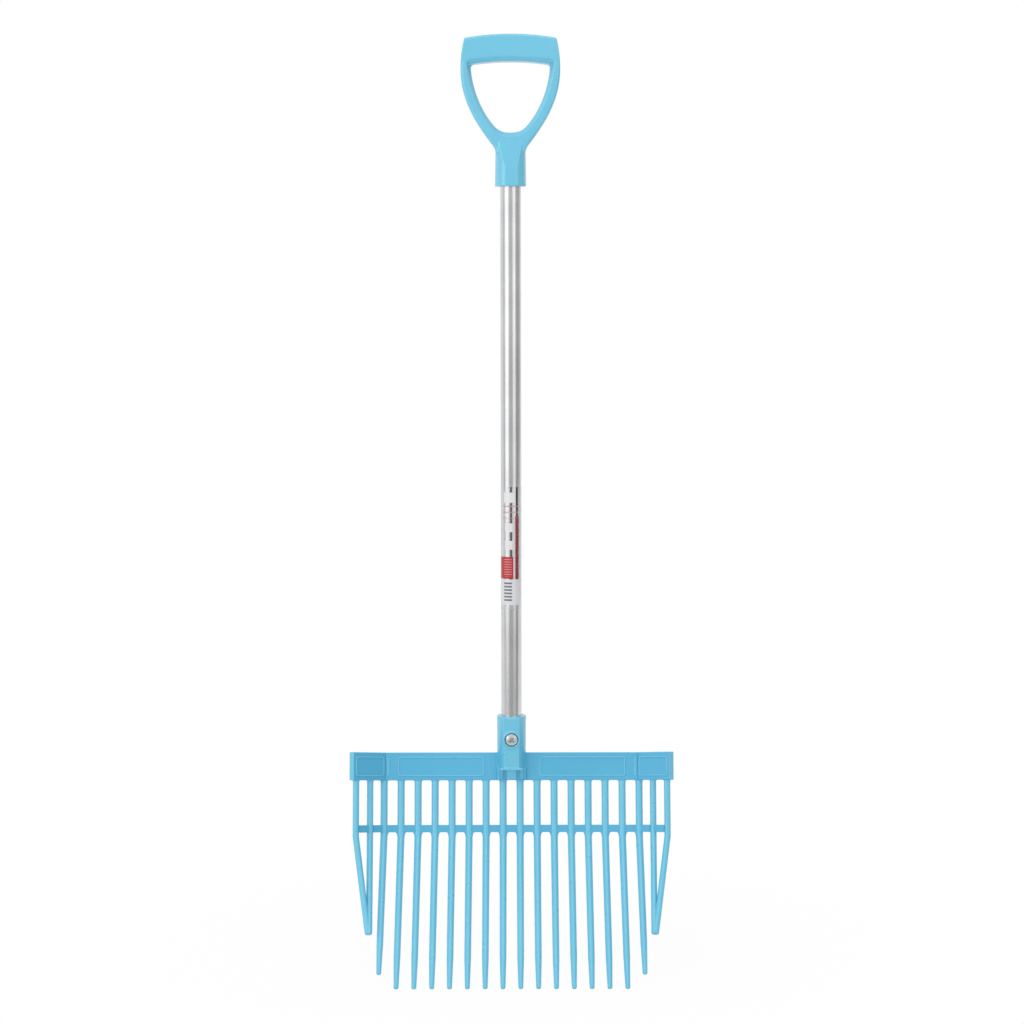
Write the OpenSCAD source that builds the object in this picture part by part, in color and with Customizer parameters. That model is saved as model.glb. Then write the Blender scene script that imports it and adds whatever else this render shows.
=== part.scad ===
// Basket fork for stable bedding: moulded head, tube shaft and D-grip.
// Millimetres. The shaft stands along Z, X runs across the head, the scoop side faces -Y.
// The origin is under the middle of the grip's bar, where the fork hangs on a peg.

/* [Shaft] */
// Outside diameter of the tube
tube_d = 28; // [24:0.5:32]
// Wall of the tube
tube_wall = 1.5; // [1:0.1:2.5]
// Length of tube seen between the grip and the head
tube_bare = 721; // [500:1:1000]
// Gap all round between the tube and the sockets
tube_clear = 0.2; // [0.05:0.05:0.4]

/* [Grip] */
// Widest part of the grip
grip_w = 134; // [115:1:150]
// Width of the grip at its top corners
grip_top_w = 122; // [105:1:130]
// Height of the hand bar at the middle
hand_bar_h = 38; // [30:0.5:44]
// Depth of the hand bar, front to back
hand_bar_depth = 32; // [26:0.5:38]
// Depth of the two arms, front to back
arm_depth = 25; // [20:0.5:30]
// Widest part of the hand opening
window_w = 106; // [90:1:112]
// Height of the hand opening
window_h = 94; // [80:1:110]
// Underside of the hand bar to the mouth of the tube socket
grip_drop = 166; // [160:1:190]
// Wall of the grip's tube socket at its mouth
grip_wall = 7; // [5:0.5:9]
// Width of the flat band down the front and back of that socket
grip_band_w = 14; // [8:1:20]
// Depth of tube held in the grip
grip_seat = 42; // [35:1:45]

/* [Head socket] */
// Wall of the head's tube socket
socket_wall = 5.2; // [4:0.2:7]
// How much the socket narrows from its mouth to its foot, on the radius
socket_taper = 1.6; // [0:0.1:2.5]
// Depth of tube held in the head
head_seat = 58; // [45:1:62]
// Width of the flat pad on the front and the back of the socket
pad_w = 22; // [21.5:0.5:30]
// How far the front pad stands out of the socket
pad_rise = 1.3; // [0.5:0.1:3]
// Mouth of the socket to the middle of the back bar
bar_drop = 71.7; // [68:0.1:90]

/* [Back bar] */
// Height of the back bar
bar_h = 38.2; // [28:0.2:44]
// Depth of the back bar, front to back
bar_depth = 10; // [10:0.5:14]
// How far the plinth round the socket's foot stands out of the bar
plinth_rise = 3; // [1:0.5:5]
// Wall and rib thickness of the back bar
bar_wall = 3.5; // [2.5:0.25:4]
// Lean of the back wall from the shaft
wall_tilt = 12; // [6:0.5:18]
// Fold of each wing towards the scoop side
wing_fold = 38; // [25:1:50]
// Length of a wing past its last tine
wing_end = 7.8; // [6:0.1:12]

/* [Tines] */
// Spacing of the tines, middle to middle
tine_pitch = 23.4; // [20:0.1:28]
// Diameter of a tine where it leaves the back bar
tine_d = 9.9; // [7:0.1:9.9]
// Diameter of a wing tine
wing_tine_d = 8.7; // [7:0.1:9.4]
// Diameter of a tine where its point starts
shoulder_d = 9; // [6.8:0.1:9.6]
// Diameter of a tine's rounded tip
tip_d = 6.6; // [4:0.1:6.8]
// Lean of the tines from the shaft, below the bend
floor_tilt = 44; // [35:0.5:52]
// Middle of the back bar to the bend in the tines
bend_drop = 95; // [80:1:110]
// Length of a tine below the bend
floor_len = 232; // [180:1:280]
// Length of the two edge tines below the bend
edge_len = 211; // [160:1:260]
// Length of the wing tines below the bend
wing_len = 147; // [110:1:155]
// Length of a tine's point
point_len = 45; // [25:1:60]
// Middle of the back bar to the middle of the cross rail
rail_drop = 85; // [70:1:88]
// Height of the cross rail
rail_h = 10; // [5:0.5:11]
// Depth of the cross rail
rail_depth = 5; // [3:0.5:6]

/* [Fixings] */
// Diameter of the head bolt
bolt_d = 8; // [6:0.5:8]
// Diameter of the head bolt's head
bolt_head_d = 17; // [14:0.5:18]
// Height of the head bolt's head
bolt_head_h = 4.6; // [3.5:0.1:6]
// Mouth of the head socket to the bolt
bolt_drop = 31; // [26:0.5:38]
// Radial gap round the bolt and in the nut's pocket
bolt_clear = 0.2; // [0.1:0.05:0.4]
// Nut size across its flats
nut_af = 13; // [11:0.5:14]
// Height of the nut
nut_h = 8; // [6:0.5:9]
// Diameter of the grip's screw
screw_d = 4.2; // [3:0.1:5]
// Diameter of the grip screw's head
screw_head_d = 9; // [7:0.1:10]
// Mouth of the grip's socket to its screw
screw_rise = 22; // [15:0.5:28]

/* [Label] */
// Length of the film round the tube
label_len = 168; // [100:1:200]
// Grip socket to the top of the film
label_drop = 405; // [250:1:450]
// Thickness of the film
label_t = 0.3; // [0.2:0.05:0.5]
// Gap between the film and the tube
label_clear = 0.05; // [0.02:0.01:0.1]

/* [Hidden] */
$fn = 64;

plastic = [0.40, 0.74, 0.87];
metal = [0.78, 0.79, 0.80];
zinc = [0.70, 0.71, 0.72];
film = [0.90, 0.92, 0.94];

base_tines = 16;
tube_r = tube_d / 2;
bore_r = tube_r + tube_clear;
grip_mouth_z = -grip_drop;
head_mouth_z = grip_mouth_z - tube_bare;
tube_top_z = grip_mouth_z + grip_seat;
tube_end_z = head_mouth_z - head_seat;
bar_mid_z = head_mouth_z - bar_drop;
socket_r = bore_r + socket_wall;
socket_end_z = bar_mid_z;
pad_y = socket_r + pad_rise;
bolt_z = head_mouth_z - bolt_drop;
seat_y = pad_y - 1.5;
nut_seat_y = socket_r - 1.2;
back_pad_y = nut_seat_y + nut_h - 2;
bend_x = (base_tines - 1) / 2 * tine_pitch;
block_w = 2 * socket_r + 3;
ledge_w = 1.25 * tine_pitch;
wing_tip_d = wing_tine_d - 0.4;
mitre = bar_depth / 2 * tan(wing_fold / 2);
bend_turn = floor_tilt - wall_tilt;
wing_bar_len = 2 * tine_pitch + wing_end;
screw_z = grip_mouth_z + screw_rise;
grip_mouth_r = bore_r + grip_wall;
neck_r = grip_mouth_r - 1;
band_y = sqrt(neck_r * neck_r - grip_band_w * grip_band_w / 4);
screw_seat_y = band_y - 1;
neck_z = grip_mouth_z + 44;
flare_top_z = grip_mouth_z + 62;
flare_foot_z = grip_mouth_z + 28;
past = 1;

function bezier(p, steps) = [for (i = [0:steps]) let (t = i / steps, u = 1 - t)
    u * u * u * p[0] + 3 * t * u * u * p[1] + 3 * t * t * u * p[2] + t * t * t * p[3]];
function flipped(p) = [for (i = [len(p) - 1:-1:0]) [-p[i][0], p[i][1]]];

// Half outlines of the grip, from its top middle down
function grip_side() = let (w = grip_w / 2, t = grip_top_w / 2, h = hand_bar_h) concat(
    bezier([[0, h], [0.4 * t, h], [0.75 * t, h - 3.5], [t, h - 6.5]], 8),
    bezier([[t + 0.8, h - 7.7], [t + 3.6, h - 19], [w, h - 33], [w, -11]], 8),
    bezier([[w, -11], [w, -50], [w - 19.5, neck_z + 41], [neck_r + 4, neck_z + 11]], 12),
    bezier([[neck_r + 4, neck_z + 11], [neck_r + 1.5, neck_z + 7.5],
        [neck_r, neck_z + 5], [neck_r, neck_z]], 5));
function window_side() = let (w = window_w / 2, h = window_h) concat(
    bezier([[0, 0], [0.4 * w, 0], [0.75 * w, -2], [w - 2.5, -3.7]], 8),
    bezier([[w, -6.5], [w - 1.2, -34], [w - 13.7, 28.4 - h], [22, 9 - h]], 12),
    bezier([[22, 9 - h], [16, 2.3 - h], [10, -h], [0, -h]], 6));

module wall_frame() {
    translate([0, 0, bar_mid_z]) rotate([-wall_tilt, 0, 0]) children();
}

// The left wing's own frame, X running back to the bend
module wing_frame() {
    translate([-bend_x, 0, 0]) rotate([0, 0, wing_fold]) children();
}

module along_y(y0, y1, r) {
    translate([0, y0, 0]) rotate([-90, 0, 0]) cylinder(h = y1 - y0, r = r);
}

module hexagon(af) {
    polygon([for (k = [0:5]) af / 2 / cos(30) * [cos(60 * k), sin(60 * k)]]);
}

module head_socket() {
    color(plastic) difference() {
        union() {
            translate([0, 0, socket_end_z])
                cylinder(h = head_mouth_z - socket_end_z, r1 = socket_r - socket_taper, r2 = socket_r);
            translate([-pad_w / 2, -pad_y, socket_end_z])
                cube([pad_w, pad_y, head_mouth_z - socket_end_z - 2]);
            translate([-pad_w / 2, 0, bolt_z - pad_w / 2]) cube([pad_w, back_pad_y, pad_w]);
            wall_frame() translate([-block_w / 2, -bar_depth / 2 - plinth_rise, -bar_h / 2])
                cube([block_w, bar_depth + plinth_rise, bar_h]);
            translate([-ledge_w / 2, -pad_y, bar_mid_z - 1.3]) cube([ledge_w, pad_y, 2.6]);
            socket_web(-0.29, 0.29, 0);
            socket_web(0.48, 0.7, 0);
            socket_web(-0.7, -0.48, 0);
            socket_web(-0.7, 0.7, 3);
        }
        translate([0, 0, tube_end_z]) cylinder(h = head_seat + past, r = bore_r);
        translate([0, 0, bolt_z]) {
            along_y(-pad_y - past, back_pad_y + past, bolt_d / 2 + bolt_clear);
            along_y(-pad_y - past, -seat_y, bolt_head_d / 2 + 0.8);
            translate([0, back_pad_y + past, 0]) rotate([90, 0, 0])
                linear_extrude(back_pad_y + past - nut_seat_y) hexagon(nut_af + 2 * bolt_clear);
        }
    }
}

// Web from the pad's ledge down to the foot of the bar, placed in tine pitches and set back by sink
module socket_web(from, to, sink) {
    rise = bar_h / 2 * cos(wall_tilt) - 2;
    lean = bar_h / 2 * sin(wall_tilt) + (bar_depth / 2 + plinth_rise) * cos(wall_tilt);
    translate([from * tine_pitch, 0, bar_mid_z]) rotate([90, 0, 90]) linear_extrude((to - from) * tine_pitch)
        polygon([[0, 0], [sink + 2 - pad_y, 0], [sink - lean, -rise], [0, -rise]]);
}

module back_bar() {
    color(plastic) wall_frame() difference() {
        translate([0, 0, -bar_h / 2]) linear_extrude(bar_h) polygon([
            [-block_w / 2, -bar_depth / 2], [-block_w / 2, bar_depth / 2],
            [-bend_x - mitre, bar_depth / 2], [-bend_x + mitre, -bar_depth / 2]]);
        for (k = [1:base_tines / 2 - 1])
            pocket(-(k + 0.5) * tine_pitch, k == 1 ? -block_w / 2 : -(k - 0.5) * tine_pitch);
    }
}

// Back pocket between the ribs at x0 and x1
module pocket(x0, x1) {
    translate([x0 + bar_wall / 2, bar_wall - bar_depth / 2, bar_wall - bar_h / 2])
        cube([x1 - x0 - bar_wall, bar_depth, bar_h - 2 * bar_wall]);
}

module bar_left() {
    back_bar();
}

module bar_right() {
    mirror([1, 0, 0]) back_bar();
}

module wing() {
    color(plastic) wall_frame() wing_frame() difference() {
        translate([0, 0, -bar_h / 2]) linear_extrude(bar_h) polygon([
            [mitre, bar_depth / 2], [-mitre, -bar_depth / 2],
            [-wing_bar_len, -bar_depth / 2], [-wing_bar_len, bar_depth / 2]]);
        pocket(-tine_pitch, -bar_wall / 2);
        pocket(-2 * tine_pitch, -tine_pitch);
    }
}

module wing_left() {
    wing();
}

module wing_right() {
    mirror([1, 0, 0]) wing();
}

module upright(d) {
    translate([0, 0, -bend_drop]) cylinder(h = bend_drop - bar_h / 2, d = d);
}

module all_uprights() {
    for (k = [1:base_tines]) translate([tine_x(k), 0, 0]) upright(tine_d);
    for (side = [0, 1]) mirror([side, 0, 0]) wing_frame()
        for (k = [1, 2]) translate([-k * tine_pitch, 0, 0]) upright(wing_tine_d);
}

module wall_bars() {
    color(plastic) wall_frame() all_uprights();
}

module rail_run(x0, x1) {
    translate([x0, 1 - rail_depth / 2 - 1.5, -rail_drop - rail_h / 2])
        cube([x1 - x0, rail_depth, rail_h]);
}

module cross_rail() {
    color(plastic) wall_frame() difference() {
        union() {
            rail_run(-bend_x, bend_x);
            for (side = [0, 1]) mirror([side, 0, 0]) wing_frame() rail_run(-2 * tine_pitch, 0);
        }
        all_uprights();
    }
}

function tine_x(k) = (k - (base_tines + 1) / 2) * tine_pitch;

// Round rod that narrows down -Z from its ball end to a rounded tip
module rod(d, length) {
    straight = length - point_len;
    sphere(d = d);
    translate([0, 0, -straight]) cylinder(h = straight, d1 = shoulder_d, d2 = d);
    translate([0, 0, tip_d / 2 - length])
        cylinder(h = point_len - tip_d / 2, d1 = tip_d, d2 = shoulder_d);
    translate([0, 0, tip_d / 2 - length]) sphere(d = tip_d);
}

module below_bend() {
    size = 2 * (bend_x + wing_bar_len);
    intersection() {
        children();
        translate([-size / 2, -size, -bend_drop - size]) cube([size, 2 * size, size]);
    }
}

module tine(k) {
    length = k == 1 || k == base_tines ? edge_len : floor_len;
    color(plastic) wall_frame() below_bend()
        translate([tine_x(k), 0, -bend_drop]) rotate([-bend_turn, 0, 0]) rod(tine_d, length);
}

// Left pair of wing tines: the outer one leans in until both end in one tip
module wing_tines() {
    fold = [-cos(wing_fold), -sin(wing_fold), 0] * tine_pitch;
    inner = [-bend_x, 0, -bend_drop] + fold;
    outer = inner + fold;
    tip = inner + [4.4, -sin(bend_turn) * wing_len, -cos(bend_turn) * wing_len];
    color(plastic) wall_frame() below_bend() {
        wing_rod(inner, tip);
        wing_rod(outer, tip - [2.2, 0, 0]);
    }
}

// Round rod between two points, turned from a profile with round ends
module wing_rod(from, to) {
    run = to - from;
    length = norm(run);
    translate(from) rotate([0, acos(run[2] / length), atan2(run[1], run[0])]) rotate_extrude()
        intersection() {
            union() {
                circle(d = wing_tine_d);
                translate([0, length]) circle(d = wing_tip_d);
                polygon([[0, 0], [wing_tine_d / 2, 0], [wing_tip_d / 2, length], [0, length]]);
            }
            translate([0, -wing_tine_d]) square([wing_tine_d, length + 2 * wing_tine_d]);
        }
}

module wing_tines_left() {
    wing_tines();
}

module wing_tines_right() {
    mirror([1, 0, 0]) wing_tines();
}

module shaft_tube() {
    color(metal) difference() {
        translate([0, 0, tube_end_z]) cylinder(h = tube_top_z - tube_end_z, r = tube_r);
        translate([0, 0, tube_end_z - past])
            cylinder(h = tube_top_z - tube_end_z + 2 * past, r = tube_r - tube_wall);
        translate([0, 0, bolt_z]) along_y(-tube_d, tube_d, bolt_d / 2 + bolt_clear);
        translate([0, 0, screw_z]) along_y(0, tube_d, screw_d / 2);
    }
}

module d_grip() {
    color(plastic) difference() {
        union() {
            intersection() {
                rotate([90, 0, 0]) linear_extrude(2 * hand_bar_depth, center = true)
                    polygon(concat(grip_side(), flipped(grip_side())));
                rotate([90, 0, 90]) linear_extrude(2 * grip_w, center = true) grip_profile();
            }
            intersection() {
                translate([0, 0, grip_mouth_z])
                    cylinder(h = flare_top_z - grip_mouth_z, r1 = grip_mouth_r, r2 = neck_r);
                rotate([90, 0, 90]) linear_extrude(2 * grip_w, center = true) sleeve_profile();
            }
        }
        rotate([90, 0, 0]) linear_extrude(4 * hand_bar_depth, center = true)
            polygon(concat(window_side(), flipped(window_side())));
        translate([0, 0, grip_mouth_z - past]) cylinder(h = grip_seat + past, r = bore_r);
        translate([0, 0, screw_z]) {
            along_y(0, tube_d, screw_d / 2 + bolt_clear);
            along_y(screw_seat_y, tube_d, screw_head_d / 2 + 1);
        }
    }
}

// Side view of the grip: a rounded hand bar over flat arms
module grip_profile() {
    r = 12;
    translate([-hand_bar_depth / 2, r - 3]) square([hand_bar_depth, hand_bar_h + 3 - 2 * r]);
    translate([r - hand_bar_depth / 2, -3]) square([hand_bar_depth - 2 * r, hand_bar_h + 3]);
    for (y = [-1, 1], z = [r - 3, hand_bar_h - r])
        translate([y * (hand_bar_depth / 2 - r), z]) circle(r = r);
    translate([-arm_depth / 2, neck_z]) square([arm_depth, 8 - neck_z]);
}

// Side view of the grip's tube socket, which flares out of the arms
module sleeve_profile() {
    polygon([[-arm_depth / 2, flare_top_z], [-band_y, flare_foot_z], [-band_y, grip_mouth_z],
        [band_y, grip_mouth_z], [band_y, flare_foot_z], [arm_depth / 2, flare_top_z]]);
}

module head_bolt() {
    dome_r = (bolt_head_d * bolt_head_d / 4 + bolt_head_h * bolt_head_h) / (2 * bolt_head_h);
    color(zinc) translate([0, 0, bolt_z]) difference() {
        union() {
            along_y(-seat_y, nut_seat_y + nut_h + 2, bolt_d / 2);
            intersection() {
                translate([0, dome_r - bolt_head_h - seat_y, 0]) sphere(r = dome_r);
                along_y(-seat_y - 2 * bolt_head_h, -seat_y, bolt_head_d / 2);
            }
        }
        for (turn = [0, 90]) rotate([0, turn, 0])
            translate([-0.9, -seat_y - 2 * bolt_head_h, -bolt_head_d / 4])
                cube([1.8, 1.5 * bolt_head_h, bolt_head_d / 2]);
    }
}

module head_nut() {
    color(zinc) translate([0, 0, bolt_z]) difference() {
        translate([0, nut_seat_y + nut_h, 0]) rotate([90, 0, 0]) linear_extrude(nut_h) hexagon(nut_af);
        along_y(0, 2 * back_pad_y, bolt_d / 2);
    }
}

module grip_screw() {
    color(zinc) translate([0, 0, screw_z]) {
        along_y(tube_r - tube_wall - 3, screw_seat_y + past, screw_d / 2);
        along_y(screw_seat_y, screw_seat_y + 2.6, screw_head_d / 2);
    }
}

module label_film() {
    color(film) translate([0, 0, grip_mouth_z - label_drop - label_len]) difference() {
        cylinder(h = label_len, r = tube_r + label_clear + label_t);
        translate([0, 0, -past]) cylinder(h = label_len + 2 * past, r = tube_r + label_clear);
    }
}

head_socket();
bar_left();
bar_right();
wing_left();
wing_right();
wall_bars();
cross_rail();
tine(1);  // tine_01
tine(2);  // tine_02
tine(3);  // tine_03
tine(4);  // tine_04
tine(5);  // tine_05
tine(6);  // tine_06
tine(7);  // tine_07
tine(8);  // tine_08
tine(9);  // tine_09
tine(10);  // tine_10
tine(11);  // tine_11
tine(12);  // tine_12
tine(13);  // tine_13
tine(14);  // tine_14
tine(15);  // tine_15
tine(16);  // tine_16
wing_tines_left();
wing_tines_right();
shaft_tube();
d_grip();
head_bolt();
head_nut();
grip_screw();
label_film();
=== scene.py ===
import math
import bmesh
import bpy
from mathutils import Matrix, Vector


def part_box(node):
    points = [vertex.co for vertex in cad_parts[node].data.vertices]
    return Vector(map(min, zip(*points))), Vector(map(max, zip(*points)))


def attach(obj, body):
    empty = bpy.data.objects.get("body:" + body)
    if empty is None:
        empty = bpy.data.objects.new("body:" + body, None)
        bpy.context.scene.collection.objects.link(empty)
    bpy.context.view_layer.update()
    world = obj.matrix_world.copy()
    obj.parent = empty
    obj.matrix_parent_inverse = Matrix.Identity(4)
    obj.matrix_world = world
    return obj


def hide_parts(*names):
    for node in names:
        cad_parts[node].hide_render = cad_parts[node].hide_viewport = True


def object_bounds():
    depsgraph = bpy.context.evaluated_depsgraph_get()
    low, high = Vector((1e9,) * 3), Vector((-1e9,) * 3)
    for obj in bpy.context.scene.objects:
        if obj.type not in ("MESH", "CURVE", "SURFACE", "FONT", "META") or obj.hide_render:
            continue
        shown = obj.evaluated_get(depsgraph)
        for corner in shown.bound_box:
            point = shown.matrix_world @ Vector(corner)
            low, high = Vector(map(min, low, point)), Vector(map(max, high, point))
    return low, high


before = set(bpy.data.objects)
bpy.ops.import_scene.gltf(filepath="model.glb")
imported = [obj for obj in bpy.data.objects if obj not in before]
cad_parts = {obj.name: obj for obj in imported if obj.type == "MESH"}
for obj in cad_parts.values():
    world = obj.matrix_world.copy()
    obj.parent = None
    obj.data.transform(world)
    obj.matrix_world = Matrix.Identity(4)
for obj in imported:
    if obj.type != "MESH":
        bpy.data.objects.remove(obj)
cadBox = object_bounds()
print("frame loaded:", len(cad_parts), "nodes")

mm = 0.001
quarter = math.radians(90)
past = 40                  # cutters reach this far, clear of the piece, in millimetres
roundSides = 96            # sides of the larger round shapes
alongX = Vector((1, 0, 0))
alongY = Vector((0, 1, 0))
alongZ = Vector((0, 0, 1))

# Places that several pieces share, in millimetres and degrees
layout = {
    "barMid": -958.7,      # middle of the back bar, below the hang point
    "barHigh": 38.2,
    "wallTilt": 12,        # lean of the back wall
    "wingFold": 38,
    "pitch": 23.4,         # tine to tine
    "baseTines": 16,
    "bendDrop": 95,        # bar's middle to the bend in the tines
    "bendTurn": 32,
    "bendRadius": 14,
    "headMouth": -887,
    "gripMouth": -166,
    "boltHeight": -918,
    "screwHeight": -144,
}
barHalf = layout["barHigh"] / 2
wallTilt = math.radians(layout["wallTilt"])
bendTurn = math.radians(layout["bendTurn"])
pitch = layout["pitch"] * mm
foldX = (layout["baseTines"] - 1) / 2 * pitch      # where a wing folds
bendZ = -layout["bendDrop"] * mm                   # where the tines bend, in the wall's frame
wallFrame = Matrix.Translation((0, 0, layout["barMid"] * mm)) @ Matrix.Rotation(-wallTilt, 4, "X")
wingFold = Matrix.Translation((-foldX, 0, 0)) @ Matrix.Rotation(math.radians(layout["wingFold"]), 4, "Z")


# Small tools

def makeActive(piece):
    bpy.ops.object.select_all(action="DESELECT")
    piece.select_set(True)
    bpy.context.view_layer.objects.active = piece


def openEdit(piece, mode="FACE"):
    makeActive(piece)
    bpy.ops.object.mode_set(mode="EDIT")
    bpy.ops.mesh.select_mode(type=mode)
    bpy.ops.mesh.select_all(action="DESELECT")


def closeEdit():
    bpy.ops.object.mode_set(mode="OBJECT")


def pickAll():
    bpy.ops.mesh.select_all(action="SELECT")


def pickFaces(piece, test):
    bpy.ops.mesh.select_all(action="DESELECT")
    shape = bmesh.from_edit_mesh(piece.data)
    for face in shape.faces:
        if test(face.calc_center_median(), face.normal):
            face.select_set(True)
    bmesh.update_edit_mesh(piece.data)


def pickFacing(piece, way):
    # flat faces that look along the direction given
    pickFaces(piece, lambda place, normal: normal.dot(way) > 0.9)


def pickEdges(piece, test):
    bpy.ops.mesh.select_all(action="DESELECT")
    shape = bmesh.from_edit_mesh(piece.data)
    for edge in shape.edges:
        if test(edge.verts[0].co, edge.verts[1].co):
            edge.select_set(True)
    bmesh.update_edit_mesh(piece.data)


def pickVerts(piece, test):
    bpy.ops.mesh.select_all(action="DESELECT")
    shape = bmesh.from_edit_mesh(piece.data)
    for vert in shape.verts:
        if test(vert.co):
            vert.select_set(True)
    shape.select_flush_mode()
    bmesh.update_edit_mesh(piece.data)


def pull(move):
    # extrude what is picked
    bpy.ops.mesh.extrude_region_move(TRANSFORM_OT_translate={"value": move})


def growRing(move, factors, centre):
    # pull the picked face on and resize it about its new middle
    pull(move)
    bpy.ops.transform.resize(value=factors, center_override=centre)


def bevelPicked(width, segments, affect="EDGES"):
    bpy.ops.mesh.bevel(offset=width * mm, segments=segments, affect=affect)


def cutAcross(axis, places):
    # cuts square to the axis, at these millimetres along it
    for place in places:
        pickAll()
        bpy.ops.mesh.bisect(plane_co=axis * (place * mm), plane_no=axis)


def applyPlace(piece):
    makeActive(piece)
    bpy.ops.object.transform_apply(location=True, rotation=True, scale=True)


def placeAt(piece, matrix):
    piece.matrix_world = matrix
    applyPlace(piece)


def turnOutward(piece):
    openEdit(piece)
    pickAll()
    bpy.ops.mesh.remove_doubles(threshold=1e-6)
    bpy.ops.mesh.normals_make_consistent(inside=False)
    closeEdit()


def modify(piece, kind, **values):
    makeActive(piece)
    step = piece.modifiers.new(kind.lower(), kind)
    for name, value in values.items():
        setattr(step, name, value)
    bpy.ops.object.modifier_apply(modifier=step.name)


def combine(piece, operation, others):
    for other in others:
        modify(piece, "BOOLEAN", operation=operation, solver="EXACT", object=other)
        bpy.data.objects.remove(other)


def weld(piece, *others):
    combine(piece, "UNION", others)


def carve(piece, *cutters):
    combine(piece, "DIFFERENCE", cutters)


def keepInside(piece, *others):
    combine(piece, "INTERSECT", others)


def roundEdges(piece, width, segments, sharperThan):
    modify(piece, "BEVEL", width=width * mm, segments=segments, limit_method="ANGLE",
           angle_limit=math.radians(sharperThan))


def smoothShade(piece, angle=35, weighted=True):
    makeActive(piece)
    bpy.ops.object.shade_smooth_by_angle(angle=math.radians(angle))
    if weighted:
        modify(piece, "WEIGHTED_NORMAL", keep_sharp=True)


def melt(piece, voxel):
    # one moulded skin, its edges softened
    modify(piece, "REMESH", mode="VOXEL", voxel_size=voxel * mm)
    modify(piece, "SMOOTH", factor=0.5, iterations=5)
    smoothShade(piece, angle=60, weighted=False)


def copyPiece(piece):
    makeActive(piece)
    bpy.ops.object.duplicate()
    return bpy.context.object


def mirrorCopy(piece):
    twin = copyPiece(piece)
    twin.scale.x = -1
    applyPlace(twin)
    turnOutward(twin)
    return twin


def joinPieces(pieces):
    makeActive(pieces[0])
    for piece in pieces[1:]:
        piece.select_set(True)
    bpy.ops.object.join()
    return pieces[0]


def placeRow(pattern, count):
    # copies along the wall, a pitch apart and centred
    row = []
    for k in range(count):
        piece = copyPiece(pattern)
        placeAt(piece, wallFrame @ Matrix.Translation(((k - (count - 1) / 2) * pitch, 0, 0)))
        row.append(piece)
    bpy.data.objects.remove(pattern)
    return row


def placeOnWings(piece, steps):
    # so many pitches out from the left fold, and again on the right
    placeAt(piece, wallFrame @ wingFold @ Matrix.Translation((-steps * pitch, 0, 0)))
    return [piece, mirrorCopy(piece)]


def sweep(degrees, steps):
    # even angles from nothing up to the degrees given
    return [math.radians(degrees) * k / steps for k in range(steps + 1)]


def addShape(add, **values):
    # a primitive with its size and place put into its mesh
    bpy.ops.object.select_all(action="DESELECT")
    add(**values)
    shape = bpy.context.object
    applyPlace(shape)
    return shape


def addBlock(low, high):
    # millimetres, corner to corner
    middle = [(a + b) / 2 * mm for a, b in zip(low, high)]
    size = [(b - a) * mm for a, b in zip(low, high)]
    return addShape(bpy.ops.mesh.primitive_cube_add, size=1, location=middle, scale=size)


def addPin(radius, yLow, yHigh, z, sides=64):
    # round bar along Y, millimetres
    return addShape(bpy.ops.mesh.primitive_cylinder_add, vertices=sides, radius=radius * mm,
                    depth=(yHigh - yLow) * mm, location=(0, (yLow + yHigh) / 2 * mm, z * mm),
                    rotation=(quarter, 0, 0))


def addHexagon(acrossFlats, yLow, yHigh, z):
    turn = math.radians(30)
    prism = addPin(acrossFlats / 2 / math.cos(turn), yLow, yHigh, z, sides=6)
    placeAt(prism, Matrix.Translation((0, 0, z * mm)) @ Matrix.Rotation(turn, 4, "Y")
            @ Matrix.Translation((0, 0, -z * mm)))
    return prism


def addSleeve(footRadius, topRadius, low, high):
    # upright round bar or cone, millimetres
    return addShape(bpy.ops.mesh.primitive_cone_add, vertices=roundSides, radius1=footRadius * mm,
                    radius2=topRadius * mm, depth=(high - low) * mm,
                    location=(0, 0, (low + high) / 2 * mm))


def addDisc(radius, z, sides, fill="NGON"):
    # radius in millimetres, height in metres
    return addShape(bpy.ops.mesh.primitive_circle_add, vertices=sides, radius=radius * mm, fill_type=fill,
                    location=(0, 0, z))


def addPipe(radius, low, high, sides, rows=1):
    # an open skin facing outwards, from one height to another in metres
    pipe = addDisc(radius, low, sides, "NOTHING")
    openEdit(pipe, "EDGE")
    pickAll()
    for k in range(rows):
        pull((0, 0, (high - low) / rows))
    pickAll()
    bpy.ops.mesh.normals_make_consistent(inside=False)
    closeEdit()
    return pipe


def dress(piece, name, material, slotName, *nodes):
    piece.name = name
    piece.data.name = name
    if not piece.data.materials:
        piece.data.materials.append(material)
    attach(piece, "root")
    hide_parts(*nodes)
    print("made", name, len(piece.data.polygons), "faces")


def dressPair(piece, name, material, slotName, node):
    # the piece on the left and its mirror copy on the right
    for half, side in ((piece, "left"), (mirrorCopy(piece), "right")):
        smoothShade(half)
        dress(half, name + side.title(), material, slotName, node + side)


# Materials. In a look, a noise is its scale and detail, and a bump its strength and its height in metres

noiseSpan = (0.3, 0.7)     # most of a noise's values lie between these


def startMaterial(name):
    material = bpy.data.materials.new(name)
    material.use_nodes = True
    tree = material.node_tree
    place = tree.nodes.new("ShaderNodeTexCoord").outputs["Object"]
    return material, tree, tree.nodes["Principled BSDF"], place


def feed(node, name, value):
    # a number or a colour is set, another node's output is linked
    if isinstance(value, (int, float, tuple)):
        node.inputs[name].default_value = value
    else:
        node.id_data.links.new(value, node.inputs[name])


def splitAxes(tree, vector):
    axes = tree.nodes.new("ShaderNodeSeparateXYZ")
    feed(axes, "Vector", vector)
    return [axes.outputs[axis] for axis in "XYZ"]


def addNoise(tree, vector, scale, detail):
    noise = tree.nodes.new("ShaderNodeTexNoise")
    feed(noise, "Vector", vector)
    feed(noise, "Scale", scale)
    feed(noise, "Detail", detail)
    return noise.outputs["Fac"]


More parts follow.
